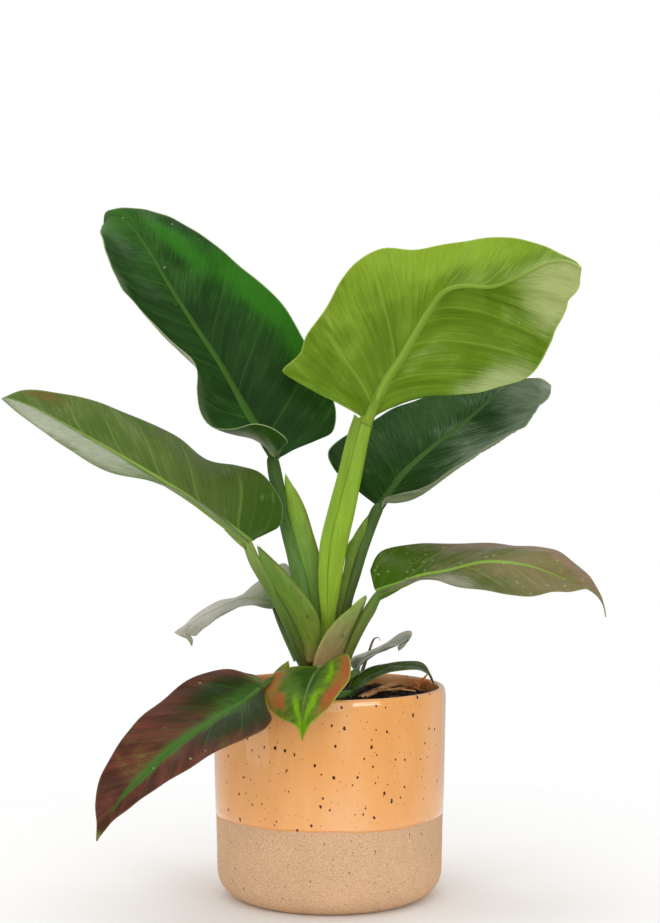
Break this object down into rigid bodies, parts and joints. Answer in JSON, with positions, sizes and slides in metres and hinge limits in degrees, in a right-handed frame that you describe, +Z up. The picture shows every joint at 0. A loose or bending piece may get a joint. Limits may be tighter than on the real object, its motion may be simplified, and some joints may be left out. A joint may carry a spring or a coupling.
{
  "type": "potted imperial green philodendron",
  "caption": "Potted imperial green philodendron: a short stem with broad glossy heart-shaped leaves on clasping petioles, in bark soil in a half-glazed speckled stoneware pot.",
  "frame": {"origin": "centre of the pot's foot, on the surface it stands on", "axes": "+Z up along the pot's axis, +X to the viewer's right, +Y away from the viewer"},
  "size_m": [0.348, 0.2241, 0.4232],
  "materials": {
    "pot_stoneware": "gloss",
    "soil_bark": "matte",
    "stem_skin": "satin",
    "leaf_dark": "satin",
    "leaf_lime": "satin",
    "leaf_olive": "satin",
    "leaf_bronze": "satin",
    "leaf_silver": "satin",
    "leaf_burgundy": "satin",
    "leaf_mottled": "satin",
    "petiole_green": "satin",
    "petiole_lime": "satin",
    "petiole_rosy": "satin",
    "dry_matter": "matte"
  },
  "bodies": {
    "root": {"pot": "pot_stoneware", "soil": "soil_bark", "stem": "stem_skin", "upper_left_petiole": "petiole_green", "upper_left_blade": "leaf_dark", "upper_right_petiole": "petiole_lime", "upper_right_blade": "leaf_lime", "back_right_petiole": "petiole_green", "back_right_blade": "leaf_dark", "mid_left_petiole": "petiole_green", "mid_left_blade": "leaf_olive", "mid_right_petiole": "petiole_rosy", "mid_right_blade": "leaf_bronze", "back_left_petiole": "petiole_green", "back_left_blade": "leaf_silver", "low_left_petiole": "petiole_green", "low_left_blade": "leaf_burgundy", "front_petiole": "petiole_rosy", "front_blade": "leaf_mottled", "small_back_petiole": "petiole_green", "small_back_blade": "leaf_silver", "small_right_petiole": "petiole_green", "small_right_blade": "leaf_dark", "dry_root": "dry_matter", "old_stub": "dry_matter", "dry_bract": "dry_matter", "bark_chip_1": "soil_bark", "bark_chip_2": "soil_bark", "bark_chip_3": "soil_bark", "bark_chip_4": "soil_bark", "bark_chip_5": "soil_bark", "bark_chip_6": "soil_bark"}
  },
  "joints": []
}
